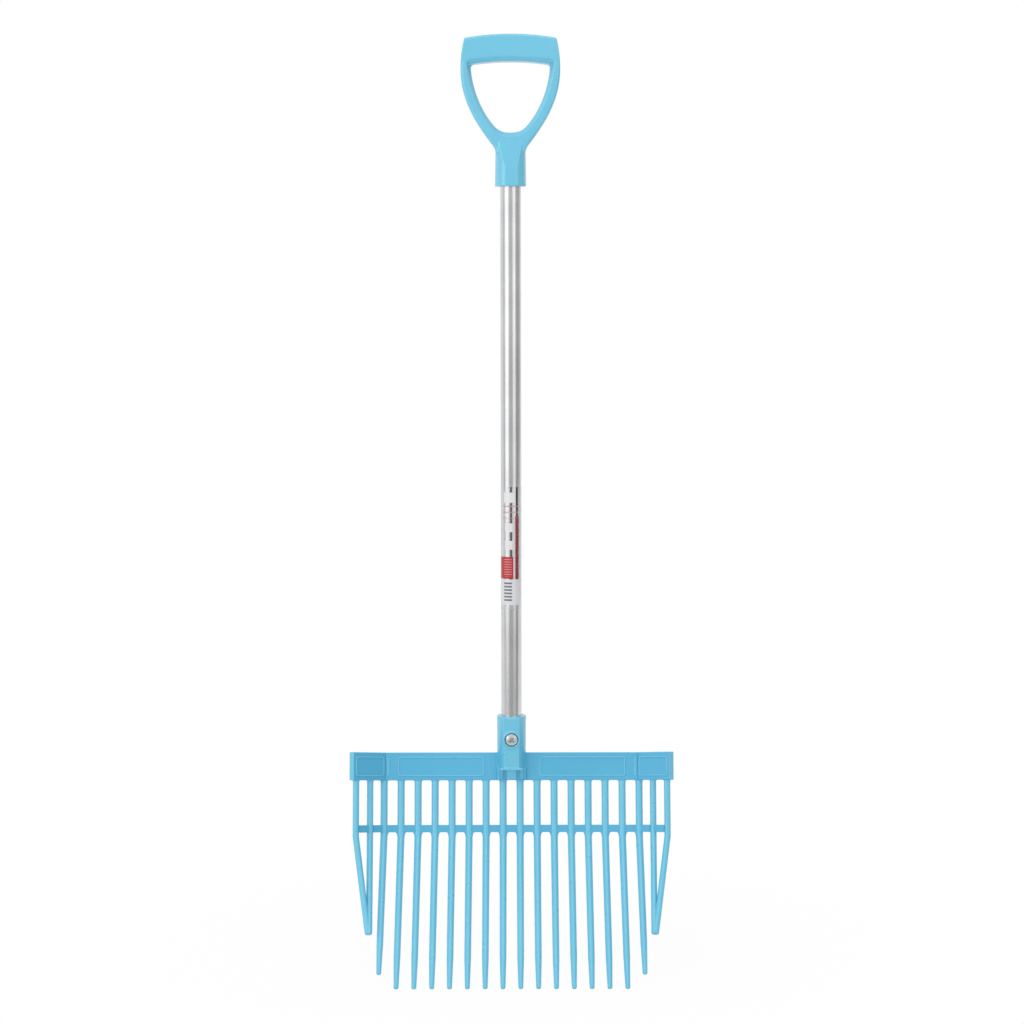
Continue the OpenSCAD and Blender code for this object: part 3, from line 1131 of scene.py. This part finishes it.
def addOutline(points, halfDeep, softEdge=0.0):
    # a closed flat curve through the points and their mirror images, given depth and made a mesh
    flat = bpy.data.curves.new("outline", "CURVE")
    flat.dimensions = "2D"
    flat.fill_mode = "BOTH"
    flat.resolution_u = grip["curveSteps"]
    flat.extrude = (halfDeep - softEdge) * mm
    flat.bevel_depth = softEdge * mm
    flat.bevel_resolution = grip["armRoundSteps"]
    flat.offset = -softEdge * mm
    mirrored = [[(-x, z) for x, z in (at, after, before)] for at, before, after in reversed(points)]
    whole = points + [entry for entry in mirrored if abs(entry[0][0]) > 0.01]
    spline = flat.splines.new("BEZIER")
    spline.use_cyclic_u = True
    spline.bezier_points.add(len(whole) - 1)
    for knot, entry in zip(spline.bezier_points, whole):
        knot.handle_left_type = knot.handle_right_type = "FREE"
        knot.co, knot.handle_left, knot.handle_right = [(x * mm, z * mm, 0) for x, z in entry]
    piece = bpy.data.objects.new("outline", flat)
    bpy.context.scene.collection.objects.link(piece)
    makeActive(piece)
    bpy.ops.object.convert(target="MESH")
    piece = bpy.context.object
    placeAt(piece, Matrix.Rotation(quarter, 4, "X"))
    turnOutward(piece)
    return piece


def addWindow():
    # opens out towards both faces, which leaves the sloping strip along the arms
    opening = addOutline(grip["window"], grip["armHalf"] - grip["chamferDeep"])
    wide, high = [(half + grip["chamferWide"]) / half for half in grip["windowHalf"]]
    openEdit(opening)
    for side in (-1, 1):
        pickFacing(opening, alongY * side)
        growRing((0, side * grip["chamferDeep"] * mm, 0), (wide, 1, high), (0, 0, grip["windowMid"] * mm))
        pull((0, side * past * mm, 0))
    closeEdit()
    return opening


def addHandBar():
    # rounded along its edges, bowed, and trimmed to the outline
    long, deep, high = grip["barHalf"]
    handBar = addBlock((-long, -deep, 0), (long, deep, 2 * high))
    openEdit(handBar, "EDGE")
    for upper, radius in zip((True, False), grip["barRound"]):
        pickEdges(handBar, lambda a, b: abs(a.x - b.x) > long * mm and (a.z > high * mm) == upper)
        bevelPicked(radius, grip["barRoundSteps"])
    bpy.ops.mesh.select_mode(type="FACE")
    stations = [long * (2 * k / grip["barCuts"] - 1) for k in range(grip["barCuts"] + 1)]
    cutAcross(alongX, stations[1:-1])
    bpy.ops.mesh.select_mode(type="VERT")
    for x in stations:
        pickVerts(handBar, lambda place: abs(place.x - x * mm) < 0.1 * mm)
        bpy.ops.transform.translate(value=(0, 0, -grip["barDroop"] * (x / long) ** 2 * mm))
    closeEdit()
    keepInside(handBar, addOutline(grip["outline"], past))
    return handBar


def addGripSocket():
    # a tapered sleeve between two flats that close in towards the arms
    top, mouth, band = grip["flareTop"], layout["gripMouth"], grip["bandHalf"]
    sleeve = addSleeve(grip["mouthRadius"], grip["neckRadius"], mouth, top)
    flare = addBlock((-past, -band, mouth - grip["spare"]), (past, band, top))
    openEdit(flare)
    cutAcross(alongZ, [grip["flareFoot"]])
    pickFacing(flare, alongZ)
    bpy.ops.transform.resize(value=(1, grip["armHalf"] / band, 1), center_override=(0, 0, top * mm))
    closeEdit()
    keepInside(sleeve, flare)
    return sleeve


def addArms():
    # the outline with soft edges, its upper part thickened cut by cut
    arms = addOutline(grip["outline"], grip["armHalf"], grip["armRound"])
    low, high = grip["armTaper"]
    cuts = [low + (high - low) * k / grip["armCuts"] for k in range(grip["armCuts"] + 1)]
    growth = (grip["armThick"] / grip["armHalf"]) ** (1 / grip["armCuts"])
    openEdit(arms, "VERT")
    cutAcross(alongZ, cuts)
    for z in cuts[:-1]:
        pickVerts(arms, lambda place: place.z > (z + 0.1) * mm)
        bpy.ops.transform.resize(value=(1, growth, 1), center_override=(0, 0, 0))
    closeEdit()
    return arms


def makeGrip():
    piece = addArms()
    above = addBlock((-2 * past, -past, grip["armTop"]), (2 * past, past, 2 * past))
    carve(piece, above, addWindow())
    weld(piece, addHandBar(), addGripSocket())
    bore = addSleeve(grip["bore"], grip["bore"], layout["gripMouth"] - grip["spare"], grip["boreTop"])
    carve(piece, bore, addPin(grip["screwHole"], 0, past, layout["screwHeight"]),
          addPin(grip["screwRecess"], grip["screwSeat"], past, layout["screwHeight"]))
    melt(piece, grip["voxel"])
    dress(piece, "handGrip", bodyPlastic, "blue_plastic", "d_grip")


makeGrip()
print("grip ready")

# Shaft tube
shaft = {"radius": 14, "wall": 1.5, "sides": 128, "edge": 0.3, "screwHole": 2.1}


def makeShaft():
    low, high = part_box("shaft_tube")
    tube = addPipe(shaft["radius"], low.z, high.z, shaft["sides"])
    modify(tube, "SOLIDIFY", thickness=shaft["wall"] * mm, offset=-1)
    roundEdges(tube, shaft["edge"], segments=2, sharperThan=60)
    carve(tube, addPin(socket["boltHole"], -past, past, layout["boltHeight"]),
          addPin(shaft["screwHole"], 0, past, layout["screwHeight"]))
    smoothShade(tube)
    dress(tube, "shaftTube", aluminium, "tube_metal", "shaft_tube")


# Fixings: cross-recess bolt with its nut, and the grip's screw.
# A shank's end is counted past the shaft's middle
bolt = {"headRadius": 8.8, "headHigh": 4.6, "headEdge": 1.2, "shank": 4.0, "end": 28.2,
        "crossLong": 9.4, "crossWide": 1.9, "crossDeep": 3.0}
gripScrew = {"headRadius": 4.5, "headHigh": 2.6, "headEdge": 0.8, "shank": 2.1, "end": -9.5,
             "crossLong": 5.0, "crossWide": 1.1, "crossDeep": 1.8}
roundHead = {
    "sides": 64,
    "domeSweep": 82,              # degrees
    "domeSteps": 6,
    "crossTurns": (45, 135),
    "crossTaper": (0.45, 0.6, 1),   # of a recess towards its floor
    "soft": 0.25,
}
thread = {
    "pitch": 1.25,
    "turns": 8,
    "ridge": 0.42,       # radius as a share of the pitch
    "sunk": 0.25,
    "steps": 32,
    "start": 0.5,        # from the shank's end
}
nut = {"acrossFlats": 13, "high": 8, "chamfer": 1.0, "corner": 0.75, "soft": 0.25}


def makeRoundHead(sizes, shankLong):
    # domed head over the shank, standing along Z with the seat at zero
    piece = addDisc(sizes["shank"], -shankLong * mm, roundHead["sides"])
    openEdit(piece)
    pickAll()
    pull((0, 0, shankLong * mm))
    growRing((0, 0, 0), (sizes["headRadius"] / sizes["shank"],) * 3, (0, 0, 0))
    height, radius = 0.0, sizes["headRadius"]
    for turn in sweep(roundHead["domeSweep"], roundHead["domeSteps"]):
        newHeight = sizes["headEdge"] + (sizes["headHigh"] - sizes["headEdge"]) * math.sin(turn)
        newRadius = sizes["headRadius"] * math.cos(turn)
        growRing((0, 0, (newHeight - height) * mm), (newRadius / radius,) * 3, (0, 0, newHeight * mm))
        height, radius = newHeight, newRadius
    closeEdit()
    turnOutward(piece)
    long, wide, top = sizes["crossLong"] / 2, sizes["crossWide"] / 2, sizes["headHigh"]
    for turn in roundHead["crossTurns"]:
        recess = addBlock((-long, -wide, top - sizes["crossDeep"]), (long, wide, top + 1))
        openEdit(recess)
        pickFacing(recess, -alongZ)
        bpy.ops.transform.resize(value=roundHead["crossTaper"], center_override=(0, 0, 0))
        closeEdit()
        placeAt(recess, Matrix.Rotation(math.radians(turn), 4, "Z"))
        carve(piece, recess)
    roundEdges(piece, roundHead["soft"], segments=2, sharperThan=40)
    return piece


def addThread(radius, low):
    # one ridge wound up round the shank from the height given
    ridge = addShape(bpy.ops.mesh.primitive_circle_add, vertices=3, fill_type="NOTHING",
                     radius=thread["ridge"] * thread["pitch"] * mm, rotation=(quarter, 0, 0),
                     location=((radius - thread["sunk"]) * mm, 0, low * mm))
    modify(ridge, "SCREW", angle=math.radians(360), screw_offset=thread["pitch"] * mm,
           iterations=thread["turns"], steps=thread["steps"], render_steps=thread["steps"], axis="Z",
           use_merge_vertices=False)
    openEdit(ridge, "EDGE")
    pickAll()
    bpy.ops.mesh.fill_holes(sides=3)
    closeEdit()
    turnOutward(ridge)
    return ridge


def placeFixing(piece, y, z, turn):
    placeAt(piece, Matrix.Translation((0, y * mm, z * mm)) @ Matrix.Rotation(turn, 4, "X"))
    smoothShade(piece)


def makeHeadBolt():
    long = bolt["end"] + socket["seat"]
    piece = makeRoundHead(bolt, long)
    piece = joinPieces([piece, addThread(bolt["shank"], thread["start"] - long)])
    placeFixing(piece, -socket["seat"], layout["boltHeight"], quarter)
    dress(piece, "headBolt", zinc, "zinc_steel", "head_bolt")


def makeHeadNut():
    low, high, boltZ = socket["nutSeat"], socket["nutSeat"] + nut["high"], layout["boltHeight"]
    piece = addHexagon(nut["acrossFlats"], low, high, boltZ)
    cap = addPin(nut["acrossFlats"] / 2 + nut["corner"], low, high, boltZ)
    roundEdges(cap, nut["chamfer"], segments=1, sharperThan=60)
    keepInside(piece, cap)
    carve(piece, addPin(bolt["shank"], 0, past, boltZ))
    roundEdges(piece, nut["soft"], segments=2, sharperThan=25)
    smoothShade(piece)
    dress(piece, "headNut", zinc, "zinc_steel", "head_nut")


def makeGripScrew():
    piece = makeRoundHead(gripScrew, gripScrew["end"] + grip["screwSeat"])
    placeFixing(piece, grip["screwSeat"], layout["screwHeight"], -quarter)
    dress(piece, "gripScrew", zinc, "zinc_steel", "grip_screw")


# Clear film round the shaft, lapped at the back
label = {"radius": 14.33, "thick": 0.25, "rows": 8, "lapWide": 8, "lapRise": 0.15}


def makeLabel():
    low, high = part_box("label_film")
    film = addPipe(label["radius"], low.z, high.z, roundSides, label["rows"])
    openEdit(film)
    pickFaces(film, lambda place, normal: place.y > 0 and abs(place.x) < label["lapWide"] / 2 * mm)
    bpy.ops.mesh.extrude_region_shrink_fatten(TRANSFORM_OT_shrink_fatten={"value": label["lapRise"] * mm})
    closeEdit()
    modify(film, "SOLIDIFY", thickness=label["thick"] * mm, offset=-1)
    smoothShade(film, angle=50)
    dress(film, "labelFilm", makeFilm(label["radius"] * mm, high.z), "clear_film", "label_film")


makeShaft()
makeHeadBolt()
makeHeadNut()
makeGripScrew()
makeLabel()
print("shaft, fixings and film ready")

# Camera, placed as the picture was taken
shot = {
    "distance": 3.2,
    "pitch": 5.0,          # degrees down
    "aimHeight": -0.6067,  # on the shaft, at the middle of the picture
    "aimAside": 0.0012,
    "roll": -0.1,          # degrees
    "lens": 82.36,
    "sensor": 36.0,
    "clipEnd": 50,
}


def makeCamera():
    down = math.radians(shot["pitch"])
    place = (shot["aimAside"], -shot["distance"] * math.cos(down),
             shot["aimHeight"] + shot["distance"] * math.sin(down))
    bpy.ops.object.camera_add(location=place)
    camera = bpy.context.object
    camera.rotation_euler = (Matrix.Rotation(quarter - down, 4, "X")
                             @ Matrix.Rotation(math.radians(shot["roll"]), 4, "Z")).to_euler()
    camera.data.lens = shot["lens"]
    camera.data.sensor_width = shot["sensor"]
    camera.data.clip_end = shot["clipEnd"]
    bpy.context.scene.camera = camera


# Studio: two upright softboxes, one overhead, a pale floor and a white room. Spans are on the
# direction that a ray leaves in: across, front to back, and up
studio = {
    "left": {"turn": -46, "away": 2.6, "height": 0.14, "size": (2.0, 2.7), "glow": 1.08},
    "right": {"turn": 38, "away": 2.8, "height": 0.2, "size": (1.5, 2.7), "glow": 0.8},
    "top": {"away": 3.0, "forward": 0.9, "size": (3.0, 1.8), "glow": 1.3},
    "aimDrop": 0.3,             # an upright softbox looks this far down
    "topAim": -0.6,
    "lean": 0.15,               # the left of the room is the brighter side
    "fillFront": 0.95,          # light on matt faces from the camera's side of the room
    "fillBack": 0.55,           # and from behind the fork
    "fillSpan": (-0.3, 0.4),
    "fillRight": 0.60,          # share of it left at the front's far right
    "fillRightSpan": (0.1, 0.8),
    "fillRightBack": (-0.05, 0.25),
    "frontLow": 0.42,           # the camera's side as gloss shows it, lower down
    "frontHigh": 0.72,          # and level or above
    "frontSpan": (-0.18, 0.06),
    "flagLow": 0.30,            # what a dark screen on the right leaves of that, lower down
    "flagHigh": 0.90,           # and level or above
    "flagSpan": (-0.15, 0.06),
    "flagAcross": (0.76, 0.92),
    "behindSpan": (-0.05, 0.25),    # where gloss starts to show the white behind
    "behindRight": 0.2,         # further back on the right
    "floorSize": 12,
    "floorFront": -0.45,        # the floor ends here, short of the camera
    "floorTone": (0.9, 0.9, 0.9, 1),
    "shadowSpan": (0.25, 0.75),     # the shadow fades out between these distances
    "shadowShare": 0.05,
}


def addSoftbox(place, target, size, glow):
    bpy.ops.object.light_add(type="AREA", location=place)
    box = bpy.context.object
    box.data.shape = "RECTANGLE"
    box.data.size, box.data.size_y = size
    box.data.energy = glow * math.pi * size[0] * size[1]
    box.rotation_euler = (Vector(target) - Vector(place)).to_track_quat("-Z", "Y").to_euler()


def makeLights():
    for side in ("left", "right"):
        lamp = studio[side]
        turn = math.radians(lamp["turn"])
        place = (lamp["away"] * math.sin(turn), -lamp["away"] * math.cos(turn), lamp["height"])
        addSoftbox(place, (0, 0, lamp["height"] - studio["aimDrop"]), lamp["size"], lamp["glow"])
    top = studio["top"]
    addSoftbox((0, -top["forward"], top["away"]), (0, 0, studio["topAim"]), top["size"], top["glow"])


def makeRoom():
    world = bpy.data.worlds.new("studioRoom")
    bpy.context.scene.world = world
    world.use_nodes = True
    tree = world.node_tree
    x, y, z = splitAxes(tree, tree.nodes.new("ShaderNodeTexCoord").outputs["Generated"])
    lean = multiply(tree, x, studio["lean"])

    # the room as it lights matt faces
    matt = addRange(tree, addMath(tree, "ADD", y, lean), *studio["fillSpan"],
                    studio["fillFront"], studio["fillBack"])
    dim = multiply(tree, addRange(tree, x, *studio["fillRightSpan"], 0, 1 - studio["fillRight"]),
                   addRange(tree, y, *studio["fillRightBack"], 1, 0))
    matt = multiply(tree, matt, leftOver(tree, dim))

    # the room as gloss shows it
    front = addRange(tree, z, *studio["frontSpan"], studio["frontLow"], studio["frontHigh"])
    flag = addRange(tree, z, *studio["flagSpan"], 1 - studio["flagLow"], 1 - studio["flagHigh"])
    flag = multiply(tree, flag, addRange(tree, x, *studio["flagAcross"], 0, 1))
    front = multiply(tree, front, leftOver(tree, flag))
    screen = multiply(tree, largest(tree, x, 0.0), studio["behindRight"])
    behind = addMath(tree, "SUBTRACT", addMath(tree, "SUBTRACT", y, lean), screen)
    gloss = largest(tree, front, addRange(tree, behind, *studio["behindSpan"], 0, 1))

    ray = tree.nodes.new("ShaderNodeLightPath").outputs
    shade = tree.nodes.new("ShaderNodeMix")
    feed(shade, "Factor", largest(tree, ray["Is Glossy Ray"], ray["Is Transmission Ray"]))
    feed(shade, "A", matt)
    feed(shade, "B", gloss)
    back = tree.nodes["Background"]
    feed(back, "Color", (1, 1, 1, 1))
    feed(back, "Strength", largest(tree, shade.outputs["Result"], ray["Is Camera Ray"]))


def makeFloorWhite():
    # white to the camera and in reflections, apart from a faint shadow near the fork
    material, tree, shader, place = startMaterial("paleFloor")
    tree.nodes.remove(shader)
    matt = tree.nodes.new("ShaderNodeBsdfDiffuse")
    feed(matt, "Color", studio["floorTone"])
    white = tree.nodes.new("ShaderNodeEmission")
    feed(white, "Strength", 1.0)
    span = tree.nodes.new("ShaderNodeVectorMath")
    span.operation = "LENGTH"
    feed(span, 0, place)
    near = addRange(tree, span.outputs["Value"], *studio["shadowSpan"], studio["shadowShare"], 0)
    ray = tree.nodes.new("ShaderNodeLightPath").outputs
    mirrored = largest(tree, ray["Is Glossy Ray"], ray["Is Transmission Ray"])
    direct = largest(tree, ray["Is Camera Ray"], mirrored)
    mix = tree.nodes.new("ShaderNodeMixShader")
    feed(mix, "Fac", multiply(tree, direct, leftOver(tree, near)))
    feed(mix, 1, matt.outputs["BSDF"])
    feed(mix, 2, white.outputs["Emission"])
    feed(tree.nodes["Material Output"], "Surface", mix.outputs["Shader"])
    return material


def makeFloor():
    bpy.ops.object.select_all(action="DESELECT")
    bpy.ops.mesh.primitive_plane_add(size=studio["floorSize"], location=(0, 0, cadBox[0].z))
    floor = bpy.context.object
    floor.name = "floor"
    openEdit(floor, "VERT")
    pickVerts(floor, lambda place: place.y < 0)
    bpy.ops.transform.translate(value=(0, studio["floorSize"] / 2 + studio["floorFront"], 0))
    closeEdit()
    floor.data.materials.append(makeFloorWhite())


makeCamera()
makeLights()
makeRoom()
makeFloor()
bpy.context.scene.view_settings.view_transform = "Standard"
print("studio ready")
